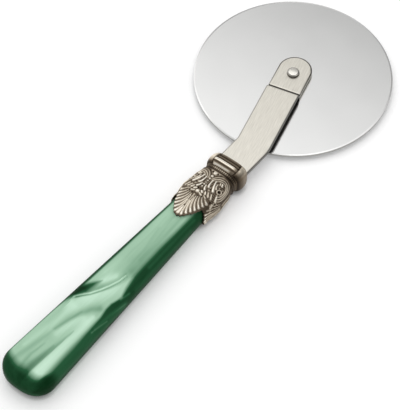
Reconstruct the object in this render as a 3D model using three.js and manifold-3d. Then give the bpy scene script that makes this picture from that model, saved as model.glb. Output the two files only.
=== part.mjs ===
// Pizza cutter with a plain disc wheel on a one-sided steel arm, a cast collar with leaf points
// and a tapered resin handle. It lies flat: the rear rivet head and the handle rest on z = 0.
// Millimetres. Origin on the axle at the resting plane, +X from the butt to the wheel, +Z up.
import * as THREE from 'three';
import { mergeVertices } from 'three/addons/utils/BufferGeometryUtils.js';
import Module from 'manifold-3d';

// Wheel and axle
const WHEEL_DIAMETER = 80;
const WHEEL_THICKNESS = 1.2;
const WHEEL_BEVEL = 0.7;
const WHEEL_EDGE = 0.4;
const SHANK_DIAMETER = 5;
const TENON_DIAMETER = 3.6;
const REAR_HEAD_DIAMETER = 10;
const REAR_HEAD_HEIGHT = 1.5;
const BUTTON_DIAMETER = 5.2;
const BUTTON_HEIGHT = 1.2;
const HEAD_CHAMFER = 0.4;
const LEAST_STEP = 0.5;
const WASHER_DIAMETER = 9;
const WASHER_THICKNESS = 0.5;

// Arm: a flat strip with a dog-leg in its plane and a joggled tab at the wheel
const STRIP_WIDTH = 13.7;
const STRIP_THICKNESS = 1.6;
const AXLE_OFFSET = 10.2;
const DOGLEG_DEGREES = 14.5;
const DOGLEG_RADIUS = 12;
const JOGGLE_FROM_AXLE = 9;
const JOGGLE_LENGTH = 1.6;
const JOGGLE_RISE = 1.6;
const TAB_REACH = 8.7;
const SHOULDER_LENGTH = 1;
const TANG_WIDTH = 7;
const TANG_LENGTH = 50;
const TANG_TAPER = 3;

// Collar, along the handle from its flange face to the leaf points
const FLANGE_FROM_AXLE = 52.6;
const FLANGE_LENGTH = 6.6;
const FLANGE_BORDER = 1.6;
const FLANGE_THICKNESS = 12;
const FLANGE_SQUARENESS = 3.4;
const NECK_LENGTH = 4.6;
const LEAF_LENGTH = 35.3;
const SIDE_LEAF_LENGTH = 28.4;
const NOTCH_LENGTH = 26.4;
const BULGE_SIDE = 2.05;
const BULGE_FACE = 1.25;
const LEAF_THICKNESS = 0.75;

// Handle
const HANDLE_LENGTH = 117.4;
const BUTT_WIDTH = 22.6;
const BUTT_THICKNESS = 12.4;
const NECK_WIDTH = 12.8;
const NECK_THICKNESS = 8.8;
const BUTT_ROUNDING = 9;
const HANDLE_SQUARENESS = 2.7;
const CEMENT_WALL = 0.9;

// Clearances, and how far a cut reaches past the face it opens
const RUNNING_GAP = 0.05;
const FITTING_GAP = 0.3;
const CUT_REACH = 1;

// Flat facets round each turned or lofted piece
const WHEEL_FACETS = 120;
const RIVET_FACETS = 64;
const WASHER_FACETS = 48;
const COLLAR_FACETS = 88;
const HANDLE_FACETS = 64;

// Heights of the stack on the axle
const REAR_WASHER_Z = REAR_HEAD_HEIGHT;
const WHEEL_Z = REAR_WASHER_Z + WASHER_THICKNESS + RUNNING_GAP;
const FRONT_WASHER_Z = WHEEL_Z + WHEEL_THICKNESS + RUNNING_GAP;
const TAB_Z = FRONT_WASHER_Z + WASHER_THICKNESS;
const TAB_TOP_Z = TAB_Z + STRIP_THICKNESS;
const ARM_MID_Z = TAB_Z + JOGGLE_RISE + STRIP_THICKNESS / 2;
const HANDLE_Y = -AXLE_OFFSET;

// Stations along the handle axis
const FLANGE_X = -FLANGE_FROM_AXLE;
const FLANGE_BACK_X = FLANGE_X - FLANGE_LENGTH;
const SHOULDER_X = FLANGE_X - FLANGE_LENGTH * 0.7;
const HANDLE_FRONT_X = FLANGE_BACK_X - NECK_LENGTH - FITTING_GAP;
const TANG_END_X = SHOULDER_X - TANG_LENGTH;

// Sizes that follow from others: the tenon and tang stay narrower than what they are cut from
const TENON_RADIUS = Math.min(TENON_DIAMETER / 2, SHANK_DIAMETER / 2 - LEAST_STEP);
const TANG_HALF_WIDTH = Math.min(TANG_WIDTH, STRIP_WIDTH - 2 * LEAST_STEP) / 2;
const SOCKET_HALF_WIDTH = TANG_HALF_WIDTH + CEMENT_WALL + 2 * FITTING_GAP;
const SOCKET_HALF_HEIGHT = STRIP_THICKNESS / 2 + CEMENT_WALL + 2 * FITTING_GAP;

const wasm = await Module();
wasm.setup();

function toSolid(geometry) {
  const bare = new THREE.BufferGeometry();
  bare.setAttribute('position', geometry.getAttribute('position'));
  if (geometry.index) {
    bare.setIndex(geometry.index);
  }
  const merged = mergeVertices(bare, 1e-4);
  const source = Array.from(merged.index.array);
  const corners = [];
  for (let i = 0; i < source.length; i += 3) {
    const [a, b, c] = source.slice(i, i + 3);
    if (a !== b && b !== c && c !== a) {
      corners.push(a, b, c);
    }
  }
  const body = new wasm.Mesh({
    numProp: 3,
    vertProperties: new Float32Array(merged.getAttribute('position').array),
    triVerts: new Uint32Array(corners),
  });
  return new wasm.Manifold(body);
}

function toMesh(solid, name, colour, roughness, metalness) {
  const body = solid.getMesh();
  const geometry = new THREE.BufferGeometry();
  geometry.setAttribute('position', new THREE.BufferAttribute(new Float32Array(body.vertProperties), 3));
  geometry.setIndex(new THREE.BufferAttribute(new Uint32Array(body.triVerts), 1));
  geometry.computeVertexNormals();
  const material = new THREE.MeshStandardMaterial({ color: colour, roughness, metalness });
  const mesh = new THREE.Mesh(geometry, material);
  mesh.name = name;
  return mesh;
}

// A turned solid on the axle from [radius, height] corners, listed anticlockwise and closed.
function turned(corners, segments) {
  const profile = corners.concat([corners[0]]).map(([radius, z]) => new THREE.Vector2(radius, z));
  return toSolid(new THREE.LatheGeometry(profile, segments).rotateX(Math.PI / 2));
}

function block(x0, x1, y, halfWidth, z, halfHeight) {
  const geometry = new THREE.BoxGeometry(Math.abs(x1 - x0), 2 * halfWidth, 2 * halfHeight);
  return toSolid(geometry.translate((x0 + x1) / 2, y, z));
}

function upright(radius, z0, z1, segments) {
  const geometry = new THREE.CylinderGeometry(radius, radius, z1 - z0, segments);
  return toSolid(geometry.rotateX(Math.PI / 2).translate(0, 0, (z0 + z1) / 2));
}

// A closed skin over rings with the same number of points; both ends are fanned to their centres.
function skin(rings) {
  const count = rings[0].length;
  const points = rings.flat();
  const faces = [];
  for (let r = 0; r + 1 < rings.length; r += 1) {
    for (let i = 0; i < count; i += 1) {
      const a = r * count + i;
      const b = r * count + (i + 1) % count;
      faces.push(a, b, b + count, a, b + count, a + count);
    }
  }
  const ends = [rings[0], rings[rings.length - 1]];
  ends.forEach((ring, end) => {
    const centre = new THREE.Vector3();
    ring.forEach((point) => centre.add(point));
    points.push(centre.divideScalar(count));
    const first = end === 0 ? 0 : (rings.length - 1) * count;
    for (let i = 0; i < count; i += 1) {
      const a = first + i;
      const b = first + (i + 1) % count;
      if (end === 0) {
        faces.push(points.length - 1, b, a);
      } else {
        faces.push(points.length - 1, a, b);
      }
    }
  });
  const geometry = new THREE.BufferGeometry();
  geometry.setAttribute('position', new THREE.Float32BufferAttribute(points.flatMap((p) => p.toArray()), 3));
  geometry.setIndex(faces);
  return toSolid(geometry);
}

// Point of a squared ellipse round the handle axis; turn 0 is the +Y side, a quarter turn is the top.
function roundPoint(x, halfWidth, halfHeight, turn, squareness) {
  const power = 2 / squareness;
  const c = Math.cos(turn);
  const s = Math.sin(turn);
  const y = HANDLE_Y + halfWidth * Math.sign(c) * Math.abs(c) ** power;
  const z = ARM_MID_Z + halfHeight * Math.sign(s) * Math.abs(s) ** power;
  return new THREE.Vector3(x, y, z);
}

// Straight-line reading of [position, value...] rows.
function readRow(rows, position) {
  let k = 0;
  while (k + 2 < rows.length && position > rows[k + 1][0]) {
    k += 1;
  }
  const [from, to] = [rows[k], rows[k + 1]];
  const share = Math.min(1, Math.max(0, (position - from[0]) / (to[0] - from[0])));
  return from.slice(1).map((value, i) => value + share * (to[i + 1] - value));
}

// Half width and half height of the handle at a distance behind its front face.
function handleHalves(back) {
  const share = Math.min(1, back / (HANDLE_LENGTH - BUTT_ROUNDING));
  const halfWidth = (NECK_WIDTH + share * (BUTT_WIDTH - NECK_WIDTH)) / 2;
  const halfHeight = (NECK_THICKNESS + share * (BUTT_THICKNESS - NECK_THICKNESS)) / 2;
  return [halfWidth, halfHeight];
}

function makeWheel() {
  const bore = SHANK_DIAMETER / 2 + RUNNING_GAP;
  const rim = WHEEL_DIAMETER / 2;
  const middle = WHEEL_Z + WHEEL_THICKNESS / 2;
  const solid = turned([
    [bore, WHEEL_Z],
    [rim - WHEEL_BEVEL, WHEEL_Z],
    [rim, middle - WHEEL_EDGE / 2],
    [rim, middle + WHEEL_EDGE / 2],
    [rim - WHEEL_BEVEL, WHEEL_Z + WHEEL_THICKNESS],
    [bore, WHEEL_Z + WHEEL_THICKNESS],
  ], WHEEL_FACETS);
  return toMesh(solid, 'cutting_wheel', 0xd4d5d6, 0.22, 1);
}

function makeWasher(name, z) {
  const bore = SHANK_DIAMETER / 2 + RUNNING_GAP;
  const edge = Math.max(WASHER_DIAMETER / 2, bore + LEAST_STEP);
  const top = z + WASHER_THICKNESS;
  const solid = turned([[bore, z], [edge, z], [edge, top], [bore, top]], WASHER_FACETS);
  return toMesh(solid, name, 0xe9e7e0, 0.55, 0);
}

function makeRivet() {
  const head = REAR_HEAD_DIAMETER / 2;
  const shank = SHANK_DIAMETER / 2;
  const button = Math.max(BUTTON_DIAMETER / 2, TENON_RADIUS + LEAST_STEP);
  const solid = turned([
    [0, 0],
    [head - HEAD_CHAMFER, 0],
    [head, HEAD_CHAMFER],
    [head, REAR_HEAD_HEIGHT - HEAD_CHAMFER / 2],
    [head - HEAD_CHAMFER / 2, REAR_HEAD_HEIGHT],
    [shank, REAR_HEAD_HEIGHT],
    [shank, TAB_Z],
    [TENON_RADIUS, TAB_Z],
    [TENON_RADIUS, TAB_TOP_Z],
    [button, TAB_TOP_Z],
    [button, TAB_TOP_Z + BUTTON_HEIGHT * 0.65],
    [button - HEAD_CHAMFER * 0.4, TAB_TOP_Z + BUTTON_HEIGHT * 0.88],
    [button - HEAD_CHAMFER, TAB_TOP_Z + BUTTON_HEIGHT],
    [0, TAB_TOP_Z + BUTTON_HEIGHT],
  ], RIVET_FACETS);
  return toMesh(solid, 'axle_rivet', 0xc9cacc, 0.3, 1);
}

// One rectangular section of the strip, square to the direction [dx, dy].
function stripRing(x, y, dx, dy, halfWidth, z) {
  const corner = (side, up) => new THREE.Vector3(x - dy * side * halfWidth, y + dx * side * halfWidth, up);
  const top = z + STRIP_THICKNESS;
  return [corner(-1, z), corner(-1, top), corner(1, top), corner(1, z)];
}

function makeArm() {
  const angle = THREE.MathUtils.degToRad(DOGLEG_DEGREES);
  const [dx, dy] = [Math.cos(angle), Math.sin(angle)];
  const half = STRIP_WIDTH / 2;
  const armZ = TAB_Z + JOGGLE_RISE;
  const rings = [];
  const alongArm = (reach, halfWidth, z) => {
    rings.push(stripRing(reach * dx, reach * dy, dx, dy, halfWidth, z));
  };
  for (let degrees = 6; degrees <= 90; degrees += 7) {
    const sweep = THREE.MathUtils.degToRad(degrees);
    alongArm(TAB_REACH - half + half * Math.cos(sweep), half * Math.sin(sweep), TAB_Z);
  }
  alongArm(-JOGGLE_FROM_AXLE, half, TAB_Z);
  alongArm(-JOGGLE_FROM_AXLE - JOGGLE_LENGTH, half, armZ);
  const cornerX = -AXLE_OFFSET / Math.tan(angle);
  const arcX = cornerX - DOGLEG_RADIUS * Math.tan(angle / 2);
  for (let k = 0; k <= 8; k += 1) {
    const turn = angle * (1 - k / 8);
    const x = arcX + DOGLEG_RADIUS * Math.sin(turn);
    const y = HANDLE_Y + DOGLEG_RADIUS * (1 - Math.cos(turn));
    rings.push(stripRing(x, y, Math.cos(turn), Math.sin(turn), half, armZ));
  }
  const alongHandle = (x, halfWidth) => rings.push(stripRing(x, HANDLE_Y, 1, 0, halfWidth, armZ));
  alongHandle(SHOULDER_X + FITTING_GAP + SHOULDER_LENGTH, half);
  alongHandle(SHOULDER_X + FITTING_GAP, TANG_HALF_WIDTH);
  alongHandle(TANG_END_X + TANG_TAPER, TANG_HALF_WIDTH);
  alongHandle(TANG_END_X, TANG_HALF_WIDTH * 0.6);
  const hole = upright(TENON_RADIUS + RUNNING_GAP, TAB_Z - CUT_REACH, TAB_TOP_Z + CUT_REACH, RIVET_FACETS);
  const solid = skin(rings).subtract(hole);
  return toMesh(solid, 'arm', 0xcfccc4, 0.35, 1);
}

// Distance from the flange face to the collar's leaf edge; share 0 is the middle of a broad face, 1 a side.
function leafEdge(share) {
  const notch = Math.min(NOTCH_LENGTH, SIDE_LEAF_LENGTH - 1, LEAF_LENGTH - 2);
  const leaf = LEAF_LENGTH - notch;
  const sideLeaf = SIDE_LEAF_LENGTH - notch;
  const [past] = readRow([
    [0, leaf],
    [0.06, 0.92 * leaf],
    [0.14, 0.76 * leaf],
    [0.21, 0.61 * leaf],
    [0.3, 0.45 * leaf],
    [0.4, 0.17 * leaf],
    [0.48, 0],
    [0.56, 0.2 * sideLeaf],
    [0.72, 0.8 * sideLeaf],
    [1, sideLeaf],
  ], share);
  return notch + past;
}

// Outer half width, half height and squareness of the collar at a distance behind the flange face.
function collarHalves(back) {
  const flangeWidth = STRIP_WIDTH / 2 + FLANGE_BORDER;
  const flangeHeight = FLANGE_THICKNESS / 2;
  const bodyStart = FLANGE_LENGTH + NECK_LENGTH;
  const neck = handleHalves(0).map((value) => value + FITTING_GAP + LEAF_THICKNESS);
  if (back >= bodyStart) {
    const bodyLength = LEAF_LENGTH - bodyStart;
    const [side, face] = readRow([
      [0, 0.65 * BULGE_SIDE, 0.75 * BULGE_FACE],
      [0.06, 0.8 * BULGE_SIDE, 0.8 * BULGE_FACE],
      [0.2, 0.87 * BULGE_SIDE, 0.92 * BULGE_FACE],
      [0.3, BULGE_SIDE, BULGE_FACE],
      [0.38, 0.97 * BULGE_SIDE, BULGE_FACE],
      [0.47, 0.74 * BULGE_SIDE, 0.97 * BULGE_FACE],
      [0.56, 0.5 * BULGE_SIDE, 0.9 * BULGE_FACE],
      [0.66, LEAF_THICKNESS, 0.8 * BULGE_FACE],
      [0.8, LEAF_THICKNESS, LEAF_THICKNESS * 1.1],
      [1, LEAF_THICKNESS, LEAF_THICKNESS],
    ], (back - bodyStart) / bodyLength);
    const [halfWidth, halfHeight] = handleHalves(back - bodyStart);
    return [halfWidth + FITTING_GAP + side, halfHeight + FITTING_GAP + face, HANDLE_SQUARENESS];
  }
  if (back > FLANGE_LENGTH) {
    const share = (back - FLANGE_LENGTH) / NECK_LENGTH;
    const [side, face] = readRow([
      [0, -0.25, -0.3],
      [0.1, -0.4, -0.4],
      [0.2, -0.15, -0.15],
      [0.3, -0.35, -0.35],
      [0.4, -0.3, -0.3],
      [0.5, 0.05, 0],
      [0.75, 0.45, 0.1],
      [1, 0.65 * BULGE_SIDE - LEAF_THICKNESS, 0.75 * BULGE_FACE - LEAF_THICKNESS],
    ], share);
    return [neck[0] + side, neck[1] + face, HANDLE_SQUARENESS];
  }
  const [drop] = readRow([
    [0, 1.5],
    [0.07, 1.15],
    [0.2, 0.85],
    [0.25, 0.95],
    [0.31, 0.5],
    [0.41, 0.4],
    [0.45, 0.5],
    [0.52, 0.12],
    [0.63, 0],
    [0.74, 0.08],
    [0.84, 0.35],
    [0.93, 0.8],
    [1, 1.3],
  ], back / FLANGE_LENGTH);
  return [flangeWidth - drop, flangeHeight - drop, FLANGE_SQUARENESS];
}

function makeCollar() {
  const turns = Array.from({ length: COLLAR_FACETS }, (_, i) => (-2 * Math.PI * (i + 0.5)) / COLLAR_FACETS);
  const shares = turns.map((turn) => {
    const fromMiddle = Math.atan2(Math.abs(Math.cos(turn)), Math.abs(Math.sin(turn)));
    return fromMiddle / (Math.PI / 2);
  });
  const bodyStart = FLANGE_LENGTH + NECK_LENGTH;
  const ringAt = (backs) => turns.map((turn, i) => {
    const [halfWidth, halfHeight, squareness] = collarHalves(backs[i]);
    return roundPoint(FLANGE_X - backs[i], halfWidth, halfHeight, turn, squareness);
  });
  const rings = [];
  for (const share of [0, 0.07, 0.2, 0.25, 0.31, 0.41, 0.45, 0.52, 0.63, 0.74, 0.84, 0.93]) {
    rings.push(ringAt(turns.map(() => share * FLANGE_LENGTH)));
  }
  for (const share of [0.02, 0.1, 0.2, 0.3, 0.4, 0.5, 0.75]) {
    rings.push(ringAt(turns.map(() => FLANGE_LENGTH + share * NECK_LENGTH)));
  }
  const edges = shares.map((share) => leafEdge(share));
  const outside = [0, 0.08, 0.2, 0.3, 0.4, 0.5, 0.6, 0.7, 0.8, 0.9, 1];
  for (const share of outside) {
    rings.push(ringAt(edges.map((edge) => bodyStart + (edge - bodyStart) * share)));
  }
  const inside = [1, 0.75, 0.5, 0.25, 0];
  for (const share of inside) {
    rings.push(turns.map((turn, i) => {
      const back = (edges[i] - bodyStart) * share;
      const [halfWidth, halfHeight] = handleHalves(back);
      const x = FLANGE_X - bodyStart - back;
      return roundPoint(x, halfWidth + FITTING_GAP, halfHeight + FITTING_GAP, turn, HANDLE_SQUARENESS);
    }));
  }
  const slotHalfWidth = STRIP_WIDTH / 2 + FITTING_GAP;
  const slotHalfHeight = STRIP_THICKNESS / 2 + FITTING_GAP;
  const tangHalfWidth = TANG_HALF_WIDTH + FITTING_GAP;
  const open = FLANGE_X + CUT_REACH;
  const strip = block(open, SHOULDER_X, HANDLE_Y, slotHalfWidth, ARM_MID_Z, slotHalfHeight);
  const tang = block(open, HANDLE_FRONT_X - CUT_REACH, HANDLE_Y, tangHalfWidth, ARM_MID_Z, slotHalfHeight);
  const solid = skin(rings).subtract(strip).subtract(tang);
  return toMesh(solid, 'collar', 0xb9ae9c, 0.38, 1);
}

function makeHandle() {
  const rings = [];
  const addRing = (back, shrinkWidth, shrinkHeight) => {
    const [halfWidth, halfHeight] = handleHalves(back);
    const x = HANDLE_FRONT_X - back;
    rings.push(Array.from({ length: HANDLE_FACETS }, (_, i) => {
      const turn = (-2 * Math.PI * (i + 0.5)) / HANDLE_FACETS;
      return roundPoint(x, halfWidth * shrinkWidth, halfHeight * shrinkHeight, turn, HANDLE_SQUARENESS);
    }));
  };
  const straight = HANDLE_LENGTH - BUTT_ROUNDING;
  for (let k = 0; k <= 12; k += 1) {
    addRing(straight * k / 12, 1, 1);
  }
  for (let degrees = 6; degrees < 90; degrees += 6) {
    const share = Math.sin(THREE.MathUtils.degToRad(degrees));
    addRing(straight + BUTT_ROUNDING * share, (1 - share ** 2) ** (1 / 2.4), (1 - share ** 2.6) ** (1 / 2));
  }
  const socketEnd = TANG_END_X - CEMENT_WALL - 2 * FITTING_GAP;
  const open = HANDLE_FRONT_X + CUT_REACH;
  const socket = block(open, socketEnd, HANDLE_Y, SOCKET_HALF_WIDTH, ARM_MID_Z, SOCKET_HALF_HEIGHT);
  return toMesh(skin(rings).subtract(socket), 'handle_grip', 0x7fb18e, 0.25, 0);
}

function makeCement() {
  const outerWidth = SOCKET_HALF_WIDTH - FITTING_GAP;
  const outerHeight = SOCKET_HALF_HEIGHT - FITTING_GAP;
  const end = TANG_END_X - CEMENT_WALL - FITTING_GAP;
  const plug = block(HANDLE_FRONT_X, end, HANDLE_Y, outerWidth, ARM_MID_Z, outerHeight);
  const tangHalfWidth = TANG_HALF_WIDTH + FITTING_GAP;
  const tangHalfHeight = STRIP_THICKNESS / 2 + FITTING_GAP;
  const tangEnd = TANG_END_X - FITTING_GAP;
  const hole = block(HANDLE_FRONT_X + CUT_REACH, tangEnd, HANDLE_Y, tangHalfWidth, ARM_MID_Z, tangHalfHeight);
  return toMesh(plug.subtract(hole), 'tang_cement', 0xc9b58a, 0.7, 0);
}

const cutter = new THREE.Group();
cutter.name = 'pizza_cutter';
cutter.add(makeHandle());
cutter.add(makeCement());
cutter.add(makeCollar());
cutter.add(makeArm());
cutter.add(makeWasher('front_washer', FRONT_WASHER_Z));
cutter.add(makeWheel());
cutter.add(makeWasher('rear_washer', REAR_WASHER_Z));
cutter.add(makeRivet());

export default cutter;
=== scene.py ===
import math

import bpy
import numpy as np
from mathutils import Matrix, Vector


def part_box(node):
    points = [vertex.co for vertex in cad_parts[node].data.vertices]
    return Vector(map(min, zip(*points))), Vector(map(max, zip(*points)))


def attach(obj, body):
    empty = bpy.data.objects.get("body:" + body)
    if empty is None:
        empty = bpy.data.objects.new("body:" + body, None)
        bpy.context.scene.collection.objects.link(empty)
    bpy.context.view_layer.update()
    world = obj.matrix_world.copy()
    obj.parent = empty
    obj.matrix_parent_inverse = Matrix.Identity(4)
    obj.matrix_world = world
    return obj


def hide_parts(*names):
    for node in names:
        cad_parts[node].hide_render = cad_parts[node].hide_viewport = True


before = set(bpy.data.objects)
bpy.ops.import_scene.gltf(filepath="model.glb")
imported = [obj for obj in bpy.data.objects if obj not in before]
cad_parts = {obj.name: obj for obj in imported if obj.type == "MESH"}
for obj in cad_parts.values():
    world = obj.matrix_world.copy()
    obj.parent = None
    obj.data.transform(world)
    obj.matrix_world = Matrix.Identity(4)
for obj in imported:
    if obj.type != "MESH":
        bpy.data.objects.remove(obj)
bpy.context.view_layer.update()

# Handle: a solid grip cast in pearl-green resin, tapered to the collar and polished all over.
# Its broad faces are pale mint and its sides and rounded butt deep green, a painted shade, under pearl
# streaks.
# The arm's tang is cemented into a socket along its middle.
mm = 0.001
handle_low, handle_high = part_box("handle_grip")
axis_y = (handle_low.y + handle_high.y) / 2
axis_z = (handle_low.z + handle_high.z) / 2
handle_front = handle_high.x
handle_length = handle_high.x - handle_low.x
butt_rounding = 9 * mm
straight_length = handle_length - butt_rounding
neck_half_width = 6.4 * mm
neck_half_height = 4.4 * mm
butt_half_width = (handle_high.y - handle_low.y) / 2
butt_half_height = (handle_high.z - handle_low.z) / 2
butt_plan_power = 2.4
butt_side_power = 2.6
handle_squareness = 2.7


def handle_halves(back):
    """Half width and half thickness of the grip at distances behind its front face."""
    share = np.clip(back / straight_length, 0, 1)
    half_width = neck_half_width + share * (butt_half_width - neck_half_width)
    half_height = neck_half_height + share * (butt_half_height - neck_half_height)
    end = np.clip((back - straight_length) / butt_rounding, 0, 1)
    plan = (1 - end**2) ** (1 / butt_plan_power)
    return half_width * plan, half_height * np.sqrt(1 - end**butt_side_power)


def around(half_width, half_height, turn, squareness):
    """Points of a squared ellipse; turn 0 is the top and a quarter turn is the -Y side."""
    power = 2 / squareness
    across = -half_width * np.sign(np.sin(turn)) * np.abs(np.sin(turn)) ** power
    up = half_height * np.sign(np.cos(turn)) * np.abs(np.cos(turn)) ** power
    return across, up


def even_turns(half_width, half_height, squareness, count):
    """Turns from minus to plus half a turn that space the points evenly round a section."""
    fine = np.linspace(-math.pi, math.pi, 4001)
    across, up = around(half_width, half_height, fine, squareness)
    walked = np.concatenate([[0], np.cumsum(np.hypot(np.diff(across), np.diff(up)))])
    return np.interp(np.arange(count) * walked[-1] / count, walked, fine)


def arc_from_top(across, up):
    """Signed distance round each section from its top line; rows are sections."""
    steps = np.hypot(np.diff(across, axis=1), np.diff(up, axis=1))
    walked = np.concatenate([np.zeros((len(across), 1)), np.cumsum(steps, axis=1)], axis=1)
    return walked - walked[:, [across.shape[1] // 2]]


def skin_faces(rows, columns):
    """Quads of a closed-round grid of points."""
    faces = []
    for row in range(rows - 1):
        for column in range(columns):
            right = (column + 1) % columns
            near, far = row * columns, (row + 1) * columns
            faces.append((near + column, far + column, far + right, near + right))
    return faces


def capped_faces(rows, columns):
    """The same quads with both ends closed."""
    first = range(columns)
    last = range((rows - 1) * columns, rows * columns)
    return skin_faces(rows, columns) + [tuple(first), tuple(reversed(last))]


def make_piece(name, points, faces, sharp_degrees=None):
    """A mesh object with smooth shading, or with its edges above sharp_degrees kept sharp."""
    mesh = bpy.data.meshes.new(name)
    mesh.from_pydata(np.asarray(points, float).reshape(-1, 3).tolist(), [], faces)
    mesh.validate()
    mesh.shade_smooth()
    if sharp_degrees is not None:
        mesh.set_sharp_from_angle(angle=math.radians(sharp_degrees))
    piece = bpy.data.objects.new(name, mesh)
    bpy.context.scene.collection.objects.link(piece)
    return piece


def add_values(piece, name, values):
    """Stores one number per point for the material to read."""
    layer = piece.data.attributes.new(name, "FLOAT", "POINT")
    layer.data.foreach_set("value", np.asarray(values, np.float32).ravel())


def distance_to_path(path, across, along):
    """Distance from every point to a bent line, and the share of the line at the nearest place."""
    path = np.asarray(path, float)
    lengths = np.hypot(*np.diff(path, axis=0).T)
    starts = np.concatenate([[0], np.cumsum(lengths)])
    nearest = np.full(np.shape(across), np.inf)
    share = np.zeros(np.shape(across))
    for (u0, v0), (u1, v1), length, start in zip(path[:-1], path[1:], lengths, starts):
        walk = ((across - u0) * (u1 - u0) + (along - v0) * (v1 - v0)) / length**2
        walk = np.clip(walk, 0, 1)
        gap = np.hypot(across - u0 - walk * (u1 - u0), along - v0 - walk * (v1 - v0))
        closer = gap < nearest
        nearest = np.where(closer, gap, nearest)
        share = np.where(closer, (start + walk * length) / starts[-1], share)
    return nearest, share


def ease(share):
    """A share from 0 to 1 that starts and ends softly."""
    share = np.clip(share, 0, 1)
    return share * share * (3 - 2 * share)


def bell(gap, spread):
    """1 on a streak's path, falling away over its spread."""
    return np.exp(-((gap / spread) ** 2) / 2)


def pearl_and_painted_shade(back, across):
    """How light the grip is painted, 0 to 1, with pearl streaks and painted shade on its sides and butt, at
    millimetres behind the front face and across a face.
    """
    glow = np.interp(back, [30, 50, 62, 110], [0.75, 0.715, 0.8, 0.8])
    # Each streak: strength, spread on its left and right, share of both at its start, and its path.
    streaks = [
        (-0.12, 1.1, 1.2, 0.3, [(22, 2.2), (40, 3.2), (54, 3.6)]),
        (-0.07, 0.7, 1.2, 0.4, [(32, -1.6), (44, 0.8), (56, 1.6)]),
        (-0.06, 0.5, 0.8, 0.4, [(24, -0.6), (36, 1.2), (48, 2.4)]),
        (0.06, 1.4, 1.4, 1.0, [(24, -3.4), (60, -4.2)]),
        (-0.26, 2.6, 0.2, 0.2, [(56.5, 2.7), (60.4, 2.2), (64.6, 0.8), (68, -0.8), (71.4, -2.8), (76, -7)]),
        (-0.85, 2.2, 2.6, 0.04, [(64, -2.4), (68, -4.6), (70.6, -6.2), (73, -8.8)]),
        (0.16, 0.5, 3.2, 0.8, [(57, 5.2), (62, 4.2), (66, 2.6), (70, 0), (74, -3), (78, -6)]),
        (-0.06, 1.5, 1.4, 0.5, [(78, 5.2), (70, 5.0), (65, 6.0), (59, 5.0), (54, 4.2)]),
        (0.34, 0.35, 0.3, 0.4, [(57, 2.8), (60.4, 2.4), (64.6, 1), (68, -0.5), (71.4, -2.4), (76, -6.6)]),
        (-0.42, 0.32, 0.22, 0.3, [(57, 3.6), (61, 3.1), (65, 1.8), (68.5, 0.2), (72, -1.9), (76, -5.5)]),
        (-0.22, 1.3, 1.0, 0.4, [(92, -2.2), (85, -0.8), (80, 1.2), (77, 2.8), (74.6, 4.8)]),
        (0.15, 1.6, 1.2, 1.0, [(60, 0.4), (64, -1.6)]),
        (0.12, 1.4, 1.4, 1.0, [(82, 2.6), (88, 0.8), (93, -0.6)]),
        (0.20, 2.2, 1.6, 0.42, [(79, 5.4), (85, 5.4), (95, 5.4), (112, 5.4)]),
        (0.08, 1.2, 1.2, 0.6, [(104, -6.8), (92, -4.6), (80, -3)]),
        (-0.46, 1.9, 0.35, 0.12, [(88.5, 4.0), (97, 3.5), (105, 3.0), (114, 2.4)]),
        (-0.14, 0.9, 1.1, 0.3, [(80, 0.6), (90, -1.6), (100, -3.4), (112, -5.8)]),
        (-0.20, 0.9, 0.8, 0.2, [(99, -0.8), (106, -1.8), (114, -1.2)]),
        (-0.14, 1.1, 1.0, 0.3, [(98, 2.4), (105, 1.6), (112, 0.6)]),
    ]
    for strength, left, right, start, path in streaks:
        gap, share = distance_to_path(path, back, across)
        path = np.array(sorted(path))
        to_right = across > np.interp(back, path[:, 0], path[:, 1])
        growth = start + (1 - start) * share
        glow = glow + strength * growth**0.5 * bell(gap, growth * np.where(to_right, right, left))
    # Painted shade: the face darkens into the deep green side across a soft band that wanders along the
    # grip.
    right_band = np.interp(
        back,
        [10, 20, 40, 50, 55, 58, 61, 65, 67, 70, 73, 77, 90, 100, 108],
        [4.4, 4.6, 4.7, 5.0, 5.3, 5.9, 6.5, 7.6, 7.3, 6.6, 6.6, 7.3, 7.8, 8.1, 8.4],
    )
    left_band = np.interp(
        back,
        [10, 20, 50, 66, 76, 85, 100, 110],
        [5.3, 5.6, 6.4, 7.0, 8.1, 9.3, 10.2, 10.6],
    )
    right_fade = np.interp(back, [20, 45, 60, 67, 73, 84, 96], [2.6, 3.0, 2.2, 1.2, 1.3, 2.0, 2.8])
    left_fade = 1.6
    side_shade = 0.89
    fade = np.where(across > 0, right_fade, left_fade)
    band_start = np.where(across > 0, right_band, left_band) - fade / 2
    glow = glow * (1 - side_shade * ease((np.abs(across) - band_start) / fade))
    # Each wisp on the dark side: strength, spread and path.
    wisps = [
        (0.10, 0.5, [(20, 6.4), (48, 7.0)]),
        (0.08, 0.7, [(24, 8.6), (58, 9.6)]),
        (0.2, 0.3, [(61.5, 8.7), (66, 8)]),
        (0.12, 0.5, [(65, 11), (73, 9.4), (82, 8.8)]),
        (0.13, 0.3, [(76, 10.3), (84, 9)]),
        (0.12, 1.6, [(66, 11.6), (84, 11.8), (108, 12.4)]),
        (0.10, 0.9, [(84, 9.0), (108, 9.5)]),
    ]
    for strength, spread, path in wisps:
        gap, _ = distance_to_path(path, back, across)
        glow = glow + strength * bell(gap, spread)
    # Painted shade: the rounded butt darkens to deep green across a soft band.
    butt_band = np.interp(
        across,
        [-10, -8, -5, -2, 2, 6, 7.5, 8.5, 10],
        [106.7, 108.0, 109.4, 110.0, 110.4, 110.2, 109.2, 106.7, 104.2],
    )
    butt_fade = 4.6
    butt_shade = 0.9
    return np.clip(glow * (1 - butt_shade * ease((back - butt_band) / butt_fade)), 0, 1)


def shader(name):
    """A new material with its nodes, links and main shader."""
    material = bpy.data.materials.new(name)
    material.use_nodes = True
    tree = material.node_tree
    return material, tree.nodes, tree.links, tree.nodes["Principled BSDF"]


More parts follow.
